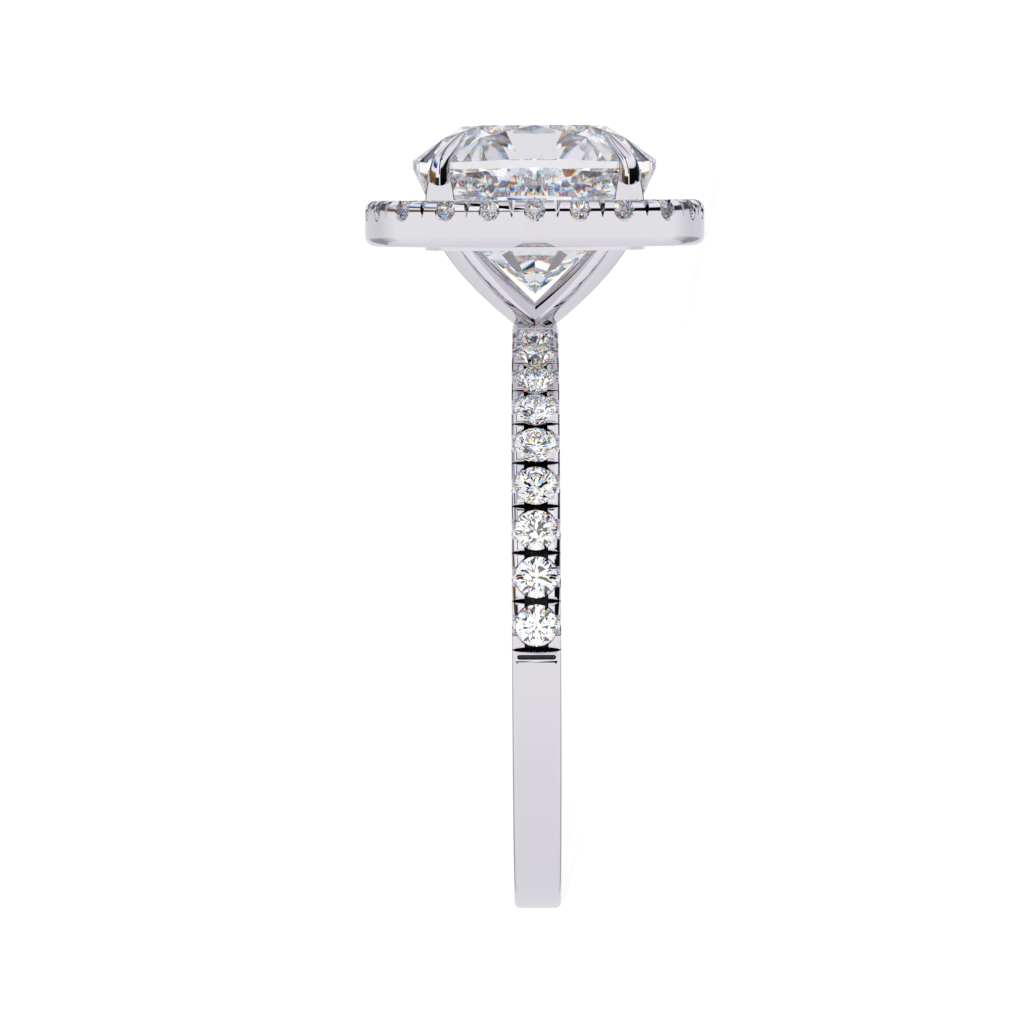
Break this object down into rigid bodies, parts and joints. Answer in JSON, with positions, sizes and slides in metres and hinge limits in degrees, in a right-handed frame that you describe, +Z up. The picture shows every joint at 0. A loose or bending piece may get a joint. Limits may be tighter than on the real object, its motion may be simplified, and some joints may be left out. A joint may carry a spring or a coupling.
{
  "type": "halo engagement ring",
  "caption": "Finger ring lying on its side: a cushion-cut centre stone in four claws over a V-shaped basket, ringed by a halo of small stones, with stone-set shoulders on a round band.",
  "frame": {"origin": "middle of the ring's box, at the surface it lies on", "axes": "+X from the foot of the band towards the head, +Y towards the back shoulder, +Z up; the finger's axis leans 12.35 degrees from +Z towards -X"},
  "size_m": [0.0272, 0.0204, 0.0116],
  "materials": {
    "white_gold": "polished, rhodium-plated white gold",
    "centre_stone": "polished colourless diamond, cushion cut",
    "small_stones": "polished colourless diamond, round brilliant cut"
  },
  "bodies": {
    "root": {"shank_and_setting": "white_gold", "centre_stone": "centre_stone", "halo_stone_1": "small_stones", "halo_stone_2": "small_stones", "halo_stone_3": "small_stones", "halo_stone_4": "small_stones", "halo_stone_5": "small_stones", "halo_stone_6": "small_stones", "halo_stone_7": "small_stones", "halo_stone_8": "small_stones", "halo_stone_9": "small_stones", "halo_stone_10": "small_stones", "halo_stone_11": "small_stones", "halo_stone_12": "small_stones", "halo_stone_13": "small_stones", "halo_stone_14": "small_stones", "halo_stone_15": "small_stones", "halo_stone_16": "small_stones", "halo_stone_17": "small_stones", "halo_stone_18": "small_stones", "halo_stone_19": "small_stones", "halo_stone_20": "small_stones", "halo_stone_21": "small_stones", "halo_stone_22": "small_stones", "halo_stone_23": "small_stones", "halo_stone_24": "small_stones", "front_shoulder_stone_1": "small_stones", "front_shoulder_stone_2": "small_stones", "front_shoulder_stone_3": "small_stones", "front_shoulder_stone_4": "small_stones", "front_shoulder_stone_5": "small_stones", "front_shoulder_stone_6": "small_stones", "front_shoulder_stone_7": "small_stones", "front_shoulder_stone_8": "small_stones", "front_shoulder_stone_9": "small_stones", "back_shoulder_stone_1": "small_stones", "back_shoulder_stone_2": "small_stones", "back_shoulder_stone_3": "small_stones", "back_shoulder_stone_4": "small_stones", "back_shoulder_stone_5": "small_stones", "back_shoulder_stone_6": "small_stones", "back_shoulder_stone_7": "small_stones", "back_shoulder_stone_8": "small_stones", "back_shoulder_stone_9": "small_stones"}
  },
  "joints": []
}
